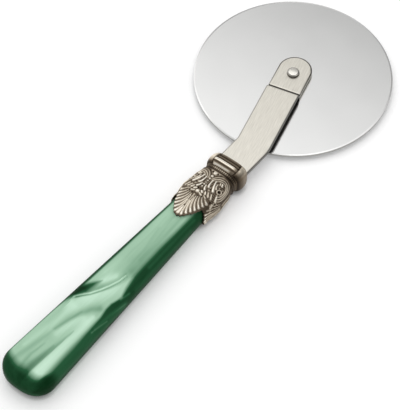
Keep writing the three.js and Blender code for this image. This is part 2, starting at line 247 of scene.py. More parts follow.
def linear(code):
    """A colour written as six hex digits, as the shader's own linear values."""
    channels = [int(code[i:i + 2], 16) / 255 for i in (0, 2, 4)]
    return [c / 12.92 if c < 0.04045 else ((c + 0.055) / 1.055) ** 2.4 for c in channels] + [1]


def colour_ramp(nodes, links, value, stops):
    """The colour that goes with a value, from (place, colour code) stops."""
    ramp = nodes.new("ShaderNodeValToRGB")
    elements = ramp.color_ramp.elements
    for place, _ in stops[1:-1]:
        elements.new(place)
    for element, (place, code) in zip(elements, stops):
        element.position = place
        element.color = linear(code)
    links.new(value, ramp.inputs["Fac"])
    return ramp.outputs["Color"]


def stored(nodes, name):
    """The numbers that add_values put on the mesh."""
    layer = nodes.new("ShaderNodeAttribute")
    layer.attribute_name = name
    return layer.outputs["Fac"]


def clouds(nodes, links, scale, detail=2, distortion=0, place=None):
    """Soft noise; where no place is given it follows the piece's own box."""
    noise = nodes.new("ShaderNodeTexNoise")
    noise.inputs["Scale"].default_value = scale
    noise.inputs["Detail"].default_value = detail
    noise.inputs["Distortion"].default_value = distortion
    if place is not None:
        links.new(place, noise.inputs["Vector"])
    return noise.outputs["Fac"]


def calculated(nodes, links, operation, *values):
    """The result of a sum on numbers and other nodes' outputs."""
    node = nodes.new("ShaderNodeMath")
    node.operation = operation
    for socket, value in zip(node.inputs, values):
        if isinstance(value, (int, float)):
            socket.default_value = value
        else:
            links.new(value, socket)
    return node.outputs["Value"]


def clouded(nodes, links, value, noise, strength):
    """A value made uneven by noise, which averages a half."""
    centred = calculated(nodes, links, "SUBTRACT", noise, 0.5)
    return calculated(nodes, links, "MULTIPLY_ADD", centred, strength, value)


def pearl_resin():
    material, nodes, links, main = shader("pearl_resin")
    place = nodes.new("ShaderNodeTexCoord")
    stretch = nodes.new("ShaderNodeMapping")
    stretch.inputs["Scale"].default_value = (60, 420, 420)
    links.new(place.outputs["Object"], stretch.inputs["Vector"])
    swirl = clouds(nodes, links, 1, detail=3, distortion=0.8, place=stretch.outputs["Vector"])
    # The stored pearl values also carry the painted shade on the grip's sides and butt.
    glow = clouded(nodes, links, stored(nodes, "pearl"), swirl, 0.12)
    greens = [(0, "0b2e16"), (0.25, "2b5d3d"), (0.6, "83aa8e"), (0.82, "a8ccb1"), (1, "cdedd6")]
    links.new(colour_ramp(nodes, links, glow, greens), main.inputs["Base Color"])
    main.inputs["Roughness"].default_value = 0.25
    main.inputs["Specular IOR Level"].default_value = 0.02
    return material


straight_rows = 260
butt_rows = 40
handle_rows = straight_rows + butt_rows
handle_columns = 168
end_flat = 0.002 * mm
butt_sweep = np.linspace(0, math.pi / 2, butt_rows)
handle_back = np.concatenate([
    np.linspace(0, straight_length, straight_rows, endpoint=False),
    handle_length - butt_rounding * (1 - np.sin(butt_sweep)),
])
handle_back[-1] = handle_length - end_flat
turns = even_turns(butt_half_width, butt_half_height, handle_squareness, handle_columns)
widths, heights = handle_halves(handle_back)
across, up = around(widths[:, None], heights[:, None], turns[None, :], handle_squareness)
along = np.broadcast_to((handle_front - handle_back)[:, None], across.shape)
handle_points = np.stack([along, axis_y + across, axis_z + up], axis=-1)
handle_piece = make_piece("resin_grip", handle_points, capped_faces(handle_rows, handle_columns))
arc = arc_from_top(across, up)
half_round = np.abs(arc[:, [0]])
on_top = np.abs(turns)[None, :] <= math.pi / 2
face_arc = np.where(on_top, arc, -np.sign(arc) * (half_round - np.abs(arc)))
back_grid = np.broadcast_to(handle_back[:, None], arc.shape)
add_values(handle_piece, "pearl", pearl_and_painted_shade(back_grid / mm, face_arc / mm))
handle_piece.data.materials.append(pearl_resin())
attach(handle_piece, "frame")
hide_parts("handle_grip")

# Tang cement: epoxy poured into the handle's socket round the tang, where it sets and holds both.
# It is all inside the grip, so its solid is shown as it is and only given its finish.


def cloudy(name, scale, stops, roughness):
    """A plain material with faint clouds of colour, and its main shader."""
    material, nodes, links, main = shader(name)
    tint = colour_ramp(nodes, links, clouds(nodes, links, scale), stops)
    links.new(tint, main.inputs["Base Color"])
    main.inputs["Roughness"].default_value = roughness
    return material, main


def finish_solid(node, material):
    """Gives a solid that is shown as it is a material of its own."""
    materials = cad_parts[node].data.materials
    materials.clear()
    materials.append(material)


cured_epoxy, _ = cloudy("cured_epoxy", 300, [(0.3, "b39b66"), (0.7, "d0bd8e")], 0.6)
finish_solid("tang_cement", cured_epoxy)

# Collar: one casting, silver plated and darkened in its recesses, that caps the handle's neck.
# It has a cushion flange slotted for the arm, a ringed neck, scrolls and a leaf that laps each face.
# Its sizes are in millimetres, those along it from the flange's front face.
flange_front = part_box("collar")[1].x
flange_length = 6.6
carving_start = 9.2
neck_end = 11.2
leaf_length = 35.2
fitting_gap = 0.3
leaf_thickness = 0.75
flange_half_width = 8.45
flange_half_height = 6.0
flange_squareness = 3.4
knob_from = 0.67
knob_blend = 0.04
knob_notch_width = 0.022
knob_notch_depth = 0.3
knob_middle = 3.5
knob_half_length = 3.4
knob_drop = 1.5
slot_half_width = 7.15
slot_half_height = 1.1
slot_squareness = 12
slot_depth = 4
scroll_eye = (6.9, 15.9)
small_eye = (9.2, 20.9)
scallop_depth = 0.55


def flange_end(turn):
    """1 on the flange's knobbed ends and 0 on its broad faces, and the notch between them."""
    past = np.abs(np.sin(turn)) ** (2 / flange_squareness) - knob_from
    return np.clip(past / knob_blend, 0, 1), np.exp(-((past / knob_notch_width) ** 2))


def collar_section(back, turn):
    """Half width, half height and squareness at distances behind the flange face."""
    grooved = np.interp(
        back,
        [0, 0.25, 0.6, 1.35, 1.5, 1.62, 1.75, 2.0, 2.75, 2.88, 3.0, 3.12,
         3.4, 3.8, 4.2, 4.9, 5.5, 6.1, 6.6],
        [1.5, 1.2, 1.05, 0.85, 1.0, 1.1, 0.95, 0.55, 0.42, 0.55, 0.65, 0.5,
         0.17, 0.04, 0, 0.08, 0.35, 0.8, 1.3],
    )
    from_middle = (back - knob_middle) / knob_half_length
    rounded = knob_drop * (1 - np.sqrt(np.clip(1 - from_middle**2, 0, 1)))
    knob, notch = flange_end(turn)
    drop = grooved + knob * (rounded - grooved) + knob_notch_depth * notch
    rings = [6.6, 6.85, 7.1, 7.5, 7.9, 8.3, 8.6, 8.9, 10.05, 11.2]
    side_swell = np.interp(back, rings, [-0.2, -0.45, -0.3, -0.12, -0.3, -0.55, -0.3, 0, 0.45, 0.58])
    face_swell = np.interp(back, rings, [-0.25, -0.5, -0.3, -0.12, -0.3, -0.5, -0.35, -0.1, 0.1, 0.19])
    body_share = np.clip((back - neck_end) / (leaf_length - neck_end), 0, 1)
    places = [0, 0.06, 0.2, 0.3, 0.38, 0.47, 0.56, 0.66, 0.8, 1]
    side_wall = np.interp(body_share, places, [1.33, 1.64, 1.78, 2.05, 1.99, 1.52, 1.03, 0.75, 0.75, 0.75])
    face_wall = np.interp(body_share, places, [0.94, 1.0, 1.13, 1.23, 1.23, 1.19, 1.1, 0.98, 0.82, 0.75])
    grip_width, grip_height = handle_halves(np.maximum(back - neck_end, 0) * mm)
    on_neck = back < neck_end
    wall_width = np.where(on_neck, leaf_thickness + side_swell, side_wall)
    wall_height = np.where(on_neck, leaf_thickness + face_swell, face_wall)
    on_flange = back <= flange_length
    sleeve_width = grip_width / mm + fitting_gap + wall_width
    sleeve_height = grip_height / mm + fitting_gap + wall_height
    half_width = np.where(on_flange, flange_half_width - drop, sleeve_width)
    half_height = np.where(on_flange, flange_half_height - drop, sleeve_height)
    return half_width, half_height, np.where(on_flange, flange_squareness, handle_squareness)


def leaf_edge(face_arc, side_arc):
    """Distance behind the flange face at which the scalloped leaf edge ends."""
    face_end = 8.0
    last_scallop = 6.6
    on_face = np.interp(
        face_arc,
        [0, 0.8, 1.7, 2.8, 3.7, 4.7, 5.3, 5.9, 6.6, 7.4, 8.6],
        [35.2, 35.0, 34.5, 33.2, 31.9, 30.6, 29.2, 27.8, 26.4, 26.9, 27.6],
    )
    on_side = np.interp(side_arc, [0, 1.2, 2.6, 4.2], [28.4, 28.2, 27.7, 27.0])
    edge = np.where(face_arc < face_end, on_face, on_side)
    lobe = np.interp(face_arc, [0, 1.45, 2.65, 3.65, 4.5, 5.2, 5.8, 6.6], np.arange(8) + 0.5)
    side_lobe = np.interp(side_arc, [0, 1.1, 2.2, 3.3, 4.4], np.arange(5))
    scallop = np.where(face_arc < last_scallop, np.cos(math.pi * lobe), np.sin(math.pi * side_lobe))
    return edge - scallop_depth * scallop**2


def smooth_line(points):
    """The same bent line with its corners cut twice."""
    points = np.asarray(points, float)
    for _ in range(2):
        near = points[:-1] * 0.75 + points[1:] * 0.25
        far = points[:-1] * 0.25 + points[1:] * 0.75
        middle = np.stack([near, far], axis=1).reshape(-1, 2)
        points = np.concatenate([points[:1], middle, points[-1:]])
    return points


def ring(centre, radius):
    """Points of a small circle on the unrolled face."""
    angles = np.linspace(0, 2 * math.pi, 17)
    return np.stack([centre[0] + radius * np.cos(angles), centre[1] + radius * np.sin(angles)], axis=1)


def bent_line(start, pull, end):
    """A smooth line from start to end drawn towards pull."""
    t = np.linspace(0, 1, 9)[:, None]
    start, pull, end = (np.array(p, float) for p in (start, pull, end))
    return (1 - t) ** 2 * start + 2 * t * (1 - t) * pull + t**2 * end


def face_strokes():
    """Raised strokes on half of a broad face: (path, half width at start, at end, height)."""
    outer_scroll = smooth_line([
        (0.8, 13.2), (1.5, 11.4), (3.0, 10.0), (5.2, 9.5), (7.4, 10.0),
        (9.2, 11.5), (10.2, 13.8), (10.4, 16.3), (9.8, 18.6), (8.4, 20.0),
    ])
    middle_scroll = smooth_line([
        (1.3, 13.6), (2.2, 12.0), (3.6, 10.95), (5.4, 10.5), (7.2, 10.95),
        (8.6, 12.2), (9.35, 14.1), (9.5, 16.2), (9.0, 18.1), (8.0, 19.0),
    ])
    inner_scroll = smooth_line([
        (2.6, 13.0), (3.6, 12.0), (4.8, 11.5), (6.0, 11.45), (7.2, 11.9),
        (8.2, 13.0), (8.7, 14.6), (8.7, 16.1), (8.2, 17.5), (7.4, 18.2),
    ])
    strokes = [
        (outer_scroll, 0.3, 0.42, 0.62),
        (middle_scroll, 0.3, 0.42, 0.72),
        (inner_scroll, 0.24, 0.34, 0.75),
        (ring(scroll_eye, 0.95), 0.3, 0.3, 0.75),
        (bent_line((1.7, 13.2), (1.4, 15.4), (2.3, 17.0)), 0.3, 0.58, 1.0),
        (bent_line((1.0, 16.8), (1.0, 18.2), (1.9, 19.0)), 0.34, 0.58, 1.0),
        (bent_line((2.9, 12.9), (3.4, 15.4), (4.9, 17.6)), 0.34, 0.7, 1.0),
        (bent_line((4.3, 13.6), (4.2, 15.0), (5.2, 15.9)), 0.28, 0.46, 0.85),
        ([(5.6, 12.2), (6.0, 13.2)], 0.34, 0.48, 1.0),
        ([(4.7, 12.4), (5.1, 13.2)], 0.28, 0.4, 0.85),
        ([(3.0, 16.6), (3.4, 18.3)], 0.3, 0.45, 0.6),
        ([(7.4, 18.2), (8.3, 20.2)], 0.34, 0.52, 1.0),
        ([(1.6, 8.9), (1.7, 9.3)], 0.34, 0.34, 0.8),
        (ring(small_eye, 0.7), 0.28, 0.28, 0.6),
        ([(8.4, 22.0), (8.8, 23.4)], 0.45, 0.55, 0.85),
        ([(9.6, 22.6), (10.1, 24.2)], 0.35, 0.45, 0.5),
        ([(1.3, 20.1), (1.9, 20.6)], 0.55, 0.6, 0.95),
        ([(1.2, 21.4), (2.4, 21.9)], 0.42, 0.5, 0.85),
        ([(2.8, 19.6), (3.4, 20.6)], 0.45, 0.55, 0.85),
        ([(3.9, 19.2), (5.0, 20.8)], 0.4, 0.55, 0.75),
        ([(3.4, 21.4), (4.6, 21.9)], 0.35, 0.45, 0.7),
        ([(5.4, 19.0), (6.4, 20.8)], 0.35, 0.5, 0.8),
        ([(0, 22.9), (0, 28.6)], 0.5, 0.2, 0.62),
        ([(0, 29.8), (0, 33.6)], 0.25, 0.85, 0.9),
    ]
    lobes = [
        ((0.5, 26.4), (0.6, 31.0), (1.5, 33.4)),
        ((0.7, 24.2), (0.9, 29.6), (2.7, 31.9)),
        ((1.1, 23.3), (1.4, 28.0), (3.7, 30.3)),
        ((1.8, 23.0), (2.1, 26.4), (4.6, 28.7)),
        ((2.6, 22.7), (3.0, 25.0), (5.3, 27.0)),
        ((3.4, 22.3), (3.9, 23.8), (5.9, 25.2)),
        ((4.3, 21.8), (4.9, 22.6), (6.5, 23.5)),
    ]
    ridge_shift = np.array([-0.1, 0.1])
    for start, pull, end in lobes:
        lobe = bent_line(start, pull, end)
        strokes.append((lobe, 0.3, 0.78, 0.6))
        strokes.append((lobe + ridge_shift, 0.17, 0.36, 0.82))
        strokes.append((lobe[-3:], 0.3, 0.6, 1.0))
    for angle in np.radians([-125, -70, -20, 30, 80]):
        spoke = np.array([math.cos(angle), math.sin(angle)])
        strokes.append(([scroll_eye + 1.3 * spoke, scroll_eye + 1.8 * spoke], 0.28, 0.42, 0.6))
    beads = [
        (9.9, 1.0), (11.8, 0.72), (13.3, 0.58), (14.6, 0.48),
        (15.7, 0.42), (16.8, 0.52), (18.1, 0.5), (21.0, 1.0),
    ]
    for place, radius in beads:
        strokes.append(([(0, place), (0, place + 0.01)], radius, radius, 1.0))
    return strokes


def pits(across, along):
    """0 in the deep drilled pits of a broad face, 1 elsewhere."""
    drilled = [
        (scroll_eye, 0.8), (small_eye, 0.5), ((0.8, 19.4), 0.45), ((1.3, 22.6), 0.35),
        ((2.9, 22.3), 0.35), ((3.4, 17.4), 0.45), ((7.2, 22.0), 0.5),
    ]
    clear = np.ones(np.shape(across))
    for place, radius in drilled:
        gap = np.hypot(across - place[0], along - place[1]) / radius
        clear = clear * np.clip(gap * 1.6 - 0.6, 0, 1)
    return clear


def side_strokes():
    """Raised strokes on half of a narrow side, measured from its middle line."""
    return [
        ([(0, 11.8), (0, 17.4)], 0.35, 0.55, 0.6),
        (bent_line((0, 18.6), (0, 23), (0, 27.6)), 0.25, 0.6, 0.6),
        (bent_line((0.4, 19.0), (0.7, 24.0), (1.4, 27.2)), 0.2, 0.56, 0.62),
        (bent_line((0.9, 18.8), (1.6, 23.0), (2.7, 26.6)), 0.2, 0.54, 0.6),
        (bent_line((1.5, 18.8), (2.5, 21.8), (3.8, 25.2)), 0.22, 0.5, 0.6),
        (bent_line((2.1, 18.6), (3.3, 20.6), (4.7, 23.0)), 0.24, 0.46, 0.55),
        ([(0.2, 27.0), (0.2, 27.7)], 0.5, 0.5, 0.9),
        ([(1.4, 26.7), (1.5, 27.4)], 0.45, 0.5, 0.9),
        ([(2.7, 26.0), (2.9, 26.7)], 0.4, 0.45, 0.9),
    ]


def raised(strokes, across, along):
    """Height of the carving from 0 to 1, the highest of all strokes."""
    height = np.zeros(np.shape(across))
    for path, start_half, end_half, top in strokes:
        path = np.asarray(path, float)
        reach = max(start_half, end_half)
        near = (across > path[:, 0].min() - reach) & (across < path[:, 0].max() + reach)
        near &= (along > path[:, 1].min() - reach) & (along < path[:, 1].max() + reach)
        gap, share = distance_to_path(path, across[near], along[near])
        half = start_half + share * (end_half - start_half)
        dome = top * np.sqrt(np.clip(1 - (gap / half) ** 2, 0, 1))
        height[near] = np.maximum(height[near], dome)
    return height


def fine_lines(across, along):
    """Height of the ground: fine engraved rings round each scroll, plain between the leaf's lobes."""
    plain = 0.28
    pitch = 0.85
    to_eye = np.hypot(across - scroll_eye[0], along - scroll_eye[1])
    rings = plain + 0.13 * np.cos(2 * math.pi * (to_eye - 1.2) / pitch)
    on_leaf = np.clip((along - 21) / 2, 0, 1)
    return rings + on_leaf * (plain - rings)


def remapped(nodes, links, value, low, high, start=0, end=1, soft=False):
    """A value that runs from start to end, turned into one from low to high."""
    node = nodes.new("ShaderNodeMapRange")
    if soft:
        node.interpolation_type = "SMOOTHSTEP"
    node.inputs["From Min"].default_value = start
    node.inputs["From Max"].default_value = end
    node.inputs["To Min"].default_value = low
    node.inputs["To Max"].default_value = high
    links.new(value, node.inputs["Value"])
    return node.outputs["Result"]


def antique_silver():
    material, nodes, links, main = shader("antique_silver")
    tarnish = clouds(nodes, links, 900, detail=4)
    # The stored tone holds the carving's height with dark patina in its hollows, and the painted highlights
    # and shade of the flange and neck.
    silver_tone = clouded(nodes, links, stored(nodes, "relief_and_painted_light"), tarnish, 0.4)
    silvers = [(0, "1c1510"), (0.3, "6c5f4f"), (0.5, "b0a492"), (0.72, "e4d9c6"), (1, "fff9ec")]
    links.new(colour_ramp(nodes, links, silver_tone, silvers), main.inputs["Base Color"])
    links.new(remapped(nodes, links, silver_tone, 0.6, 0.24), main.inputs["Roughness"])
    main.inputs["Metallic"].default_value = 1
    return material


collar_columns = 340
smooth_rows = 90
carved_rows = 190
first_carved = carving_start + 0.1
section_turns = even_turns(9.2, 6.1, handle_squareness, collar_columns)
smooth_back = np.linspace(0, carving_start, smooth_rows)
leaf_middle = np.full(collar_columns, 27.0)
widths, heights, square = collar_section(leaf_middle, section_turns)
across, up = around(widths[None, :], heights[None, :], section_turns[None, :], square[None, :])
edge_arc = np.abs(arc_from_top(across, up))[0]
edge_half_round = edge_arc[0]
edge_face_arc = np.minimum(edge_arc, edge_half_round - edge_arc)
edge = leaf_edge(edge_face_arc, edge_half_round / 2 - edge_face_arc)
smooth_grid = np.repeat(smooth_back[:, None], collar_columns, axis=1)
carved_share = np.linspace(0, 1, carved_rows)
carved_grid = first_carved + carved_share[:, None] * (edge - first_carved)[None, :]
collar_back = np.concatenate([smooth_grid, carved_grid])
widths, heights, square = collar_section(collar_back, section_turns[None, :])
across, up = around(widths, heights, section_turns[None, :], square)
arc = arc_from_top(across, up)
half_round = np.abs(arc[:, [0]])

# The carving is sunk into the casting along its surface, shallower on the leaf.
off_middle = np.interp(collar_back, [9, 22, 35], [0.6, 0.6, 0.2])
face_arc = np.minimum(np.abs(arc + off_middle), half_round - np.abs(arc))
side_arc = np.abs(half_round / 2 - np.abs(arc))
height = np.maximum(
    raised(face_strokes(), face_arc, collar_back),
    raised(side_strokes(), side_arc, collar_back),
)
ground = fine_lines(face_arc, collar_back) * (1 - 0.4 * np.clip((4.2 - side_arc) / 1.5, 0, 1))
height = np.maximum(height, ground) * pits(face_arc, collar_back)
carved = np.clip((collar_back - carving_start) / 0.5, 0, 1)
deep = 0.6 - 0.28 * np.clip((collar_back - 22) / 6, 0, 1)
sink = carved * deep * (1 - height)
slope = np.gradient(up, axis=1), -np.gradient(across, axis=1)
steep = np.hypot(*slope)
turned_out = np.sign(across * slope[0] + up * slope[1])
across = across - sink * turned_out * slope[0] / steep
up = up - sink * turned_out * slope[1] / steep

# Flange and rings: painted highlight bands between dark grooves that hold patina, the bands fading into
# painted shade towards the right; the knobbed ends are duller, painted lighter on the left and darker on
# the right.
highlights_and_grooves = np.interp(
    smooth_back,
    [0, 0.4, 1.3, 1.6, 1.9, 2.3, 2.7, 3.0, 3.3, 3.6, 4.0, 4.4, 4.8, 5.2,
     5.7, 6.0, 6.3, 6.6, 6.85, 7.2, 7.5, 7.9, 8.4, 8.9, 9.2],
    [0.4, 0.4, 0.25, 0.05, 0.3, 0.35, 0.25, 0.05, 0.6, 0.95, 1.0, 0.9, 0.25, 0.15,
     0.5, 1.0, 0.95, 0.4, 0.1, 0.5, 0.5, 0.35, 0.08, 0.35, 0.45],
)[:, None]
knobs = np.interp(
    smooth_back,
    [0, 0.5, 1.2, 3.5, 5.2, 6.0, 6.5],
    [0.25, 0.5, 0.62, 0.58, 0.35, 0.15, 0.05],
)[:, None]
on_flange = (smooth_back < flange_length)[:, None]
knob, notch = (part[None, :] * on_flange for part in flange_end(section_turns))
flange_arc = arc[:smooth_rows]
highlight_left = np.interp(smooth_back, [0, 5, 5.6], [-7, -7, -5])[:, None]
highlight_right = np.interp(smooth_back, [0, 5, 5.6], [4.8, 4.8, 3.6])[:, None]
painted_highlight = np.clip((flange_arc - highlight_left) / 1.2, 0, 1) * np.clip((highlight_right - flange_arc) / 1.8, 0, 1)
bands = np.where(on_flange, np.minimum(highlights_and_grooves, 0.36 + 0.64 * painted_highlight), highlights_and_grooves)
knob_light_and_shade = knobs * np.interp(flange_arc, [-1, 0, 7.5, 9.5], [1.3, 1.1, 1.1, 0.6])
tarnished = np.where(flange_arc < 0, 0.9, 0.35)
on_beading = np.exp(-(((smooth_back - 7.4) / 0.5) ** 2))[:, None]
beading = 0.3 * on_beading * np.cos(2 * math.pi * flange_arc / 0.85)
relief_and_painted_light = np.where(carved > 0, height, 0)
relief_and_painted_light[:smooth_rows] = (bands + knob * (knob_light_and_shade - bands)) * (1 - tarnished * notch) + beading
# Painted shade: the neck darkens under the flange towards the sides.
shade_under_flange = np.exp(-(((collar_back - 8.4) / 1.7) ** 2)) * np.clip((np.abs(arc) - 2.6) / 1.5, 0, 1)
relief_and_painted_light = relief_and_painted_light * (1 - 0.6 * shade_under_flange * (collar_back > flange_length))

# The skin runs from the slot for the arm over the outside and under the leaf edge onto the grip.
lap_gap = 0.06 * mm
lap_step = 0.15
tuck = 3 * mm
outer = np.stack([flange_front - collar_back * mm, axis_y + across * mm, axis_z + up * mm], axis=-1)
slot_across, slot_up = around(slot_half_width, slot_half_height, section_turns, slot_squareness)
mouth_x = np.full(collar_columns, flange_front)
mouth = np.stack([mouth_x, axis_y + slot_across * mm, axis_z + slot_up * mm], axis=-1)
throat = mouth - np.array([slot_depth * mm, 0, 0])
lap_width, lap_height = handle_halves(np.maximum(edge - neck_end, 0) * mm)
lap_across, lap_up = around(lap_width + lap_gap, lap_height + lap_gap, section_turns, handle_squareness)
lap = np.stack([flange_front - (edge - lap_step) * mm, axis_y + lap_across, axis_z + lap_up], axis=-1)
collar_points = np.concatenate([[throat, mouth], outer, [lap, lap + np.array([tuck, 0, 0])]])
# Painted shade: the slot's inside and the lap under the leaf edge take the darkest tone.
crevice_shade = np.zeros((1, collar_columns))
collar_relief_and_light = np.concatenate([crevice_shade, crevice_shade + 0.1, relief_and_painted_light, crevice_shade, crevice_shade])
collar_faces = skin_faces(len(collar_points), collar_columns)
collar_piece = make_piece("silver_collar", collar_points, collar_faces, 50)
add_values(collar_piece, "relief_and_painted_light", collar_relief_and_light)
collar_piece.data.materials.append(antique_silver())
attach(collar_piece, "frame")
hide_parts("collar")

# Arm: a stamped stainless strip, satin finished, that runs from its tang in the handle to the axle.
# A dog-leg turns it towards the wheel's centre and a joggle drops its round tab onto the washer.
arm_low, arm_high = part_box("arm")
strip_half = 6.85 * mm
strip_thickness = 1.6 * mm
dogleg = math.radians(14.5)
dogleg_radius = 12 * mm
tab_reach = 8.7 * mm
joggle_start = 9.5 * mm
joggle_length = 1.6 * mm
shoulder = flange_front - 4.3 * mm
tang_half = 3.5 * mm
tang_taper = 3 * mm
edge_round = 0.25 * mm
wall_drop = 0.15 * mm
strip_places = np.sin(np.linspace(-math.pi / 2, math.pi / 2, 31))


def strip_section(x, y, turn, half, top, to_edge):
    """A ring of points round the strip, its top rounded off near the outline."""
    side = np.array([-math.sin(turn), math.cos(turn), 0]) * half
    short = np.clip(edge_round - to_edge, 0, edge_round)
    fall = edge_round - np.sqrt(edge_round**2 - short**2)
    upper = np.array([x, y, top]) + strip_places[:, None] * side - fall[:, None] * np.array([0, 0, 1])
    wall_top = np.array([x, y, top - edge_round - wall_drop])
    under = np.array([x, y, top - strip_thickness])
    return np.concatenate([upper, [wall_top + side, under + side, under - side, wall_top - side]])


def painted_dark(nodes, links, clean, amount, code):
    """A clean colour that a dark one covers by an amount from 0 to 1, used here for painted shade."""
    dark_mix = nodes.new("ShaderNodeMix")
    dark_mix.data_type = "RGBA"
    dark_mix.inputs["B"].default_value = linear(code)
    links.new(amount, dark_mix.inputs["Factor"])
    links.new(clean, dark_mix.inputs["A"])
    return dark_mix.outputs["Result"]


def finely_marked(nodes, links, main, marks, strength, depth):
    """Lets fine marks of the finish catch the light."""
    bump = nodes.new("ShaderNodeBump")
    bump.inputs["Strength"].default_value = strength
    bump.inputs["Distance"].default_value = depth
    links.new(marks, bump.inputs["Height"])
    links.new(bump.outputs["Normal"], main.inputs["Normal"])


def satin_steel():
    material, nodes, links, main = shader("satin_steel")
    place = nodes.new("ShaderNodeTexCoord")
    stretch = nodes.new("ShaderNodeMapping")
    stretch.vector_type = "TEXTURE"
    stretch.inputs["Rotation"].default_value = (0, 0, dogleg)
    stretch.inputs["Scale"].default_value = (5 * mm, 0.3 * mm, 0.5 * mm)
    links.new(place.outputs["Object"], stretch.inputs["Vector"])
    grain = clouds(nodes, links, 1, detail=3, place=stretch.outputs["Vector"])
    clean = colour_ramp(nodes, links, grain, [(0.3, "d6d2c7"), (0.7, "ece8de")])
    # Painted shade darkens the strip's edges, its side walls and the crease at the joggle.
    tint = painted_dark(nodes, links, clean, stored(nodes, "painted_edge_shade"), "3a3732")
    links.new(tint, main.inputs["Base Color"])
    links.new(remapped(nodes, links, grain, 0.28, 0.38), main.inputs["Roughness"])
    finely_marked(nodes, links, main, grain, 0.05, 0.02 * mm)
    main.inputs["Metallic"].default_value = 1
    return material


tab_top = arm_low.z + strip_thickness
arm_top = arm_high.z
tab_centre = tab_reach - strip_half
arm_points = []
arm_painted_shade = []


def add_section(x, y, turn, half, top, to_edge, crease=0.0, burr=0.45, wall=0.85):
    """Adds a section of the strip and how much painted shade darkens its crease, edges and side walls."""
    arm_points.append(strip_section(x, y, turn, half, top, to_edge))
    rim = np.clip(burr * (2 - to_edge / (1.2 * edge_round)), 0, 0.95)
    arm_painted_shade.append(np.concatenate([np.maximum(rim, crease), np.full(4, wall)]))


def add_along_arm(reach, half, top, to_edge, **tones):
    """Adds a section at a distance from the axle, on the line that leaves the dog-leg."""
    add_section(reach * math.cos(dogleg), reach * math.sin(dogleg), dogleg, half, top, to_edge, **tones)


to_side = strip_half * (1 - np.abs(strip_places))
# Painted shade on the tab's edges, heavier on one side.
tab_burr = np.where(strip_places < 0, 3.0, 1.4)
for sweep in np.radians(np.concatenate([[3, 5, 7], np.linspace(9, 90, 40)])):
    half = strip_half * math.sin(sweep)
    to_rim = strip_half - np.hypot(strip_half * math.cos(sweep), half * strip_places)
    add_along_arm(tab_centre + strip_half * math.cos(sweep), half, tab_top, to_rim, burr=tab_burr, wall=0)

# Pressed line at the foot of the joggle: millimetres ahead of it, depth, and the painted shade in it.
pressed_line = [
    (1.1, 0, 0),
    (1, 0, 0),
    (0.95, 0.01, 0),
    (0.6, 0.06, 0),
    (0.55, 0.07, 0.9),
    (0.1, 0.07, 1),
]
for ahead, depth, crease in pressed_line:
    reach = ahead * mm - joggle_start
    add_along_arm(reach, strip_half, tab_top - depth * mm, to_side, crease=crease, wall=0)
for share in np.linspace(0, 1, 9):
    top = tab_top + ease(share) * (arm_top - tab_top)
    crease = min(1, 4 * (1 - share))
    add_along_arm(-joggle_start - share * joggle_length, strip_half, top, to_side, crease=crease)
add_along_arm(-joggle_start - joggle_length - 0.3 * mm, strip_half, arm_top, to_side)
bend_x = axis_y / math.tan(dogleg) - dogleg_radius * math.tan(dogleg / 2)
for turn in dogleg * (1 - np.linspace(0, 1, 12)):
    x = bend_x + dogleg_radius * math.sin(turn)
    y = axis_y + dogleg_radius * (1 - math.cos(turn))
    add_section(x, y, turn, strip_half, arm_top, to_side)
add_section(shoulder + mm, axis_y, 0, strip_half, arm_top, to_side)
for x, half in [(shoulder, tang_half), (arm_low.x + tang_taper, tang_half), (arm_low.x, tang_half * 0.6)]:
    add_section(x, axis_y, 0, half, arm_top, half * (1 - np.abs(strip_places)))
arm_piece = make_piece("steel_arm", arm_points, capped_faces(len(arm_points), len(arm_points[0])), 50)
add_values(arm_piece, "painted_edge_shade", arm_painted_shade)
arm_piece.data.materials.append(satin_steel())
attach(arm_piece, "frame")
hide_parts("arm")

# Washers: two thin rings punched from nylon sheet and slipped over the rivet's shoulder.
# They keep the wheel clear of the tab above it and of the rear head below.
natural_nylon, nylon_shader = cloudy("natural_nylon", 700, [(0.3, "dcd9cf"), (0.7, "eeece5")], 0.5)
nylon_shader.inputs["Subsurface Weight"].default_value = 0.1
for washer in ("front_washer", "rear_washer"):
    finish_solid(washer, natural_nylon)

# Cutting wheel: a plain disc stamped from stainless sheet, polished on both faces.
# Its rim has a narrow ground land on each side, and it turns on the rivet's shoulder.
wheel_low, wheel_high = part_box("cutting_wheel")
wheel_radius = wheel_high.x
wheel_middle = (wheel_low.z + wheel_high.z) / 2
bore_radius = 2.55 * mm
rim_land = 0.6 * mm
land_fall = 0.11 * mm
land_edge = 0.03 * mm
edge_step = 0.02 * mm


def turned_piece(name, rows, sides, sharp_degrees, mark):
    """A piece turned on the axle from rows of radius, height and a number stored under mark."""
    angles = np.arange(sides) * 2 * math.pi / sides
    rings = []
    for radius, height, _ in rows:
        heights = np.full(sides, height)
        rings.append(np.stack([radius * np.cos(angles), radius * np.sin(angles), heights], axis=1))
    piece = make_piece(name, rings, skin_faces(len(rings), sides), sharp_degrees)
    add_values(piece, mark, np.repeat([row[2] for row in rows], sides))
    return piece


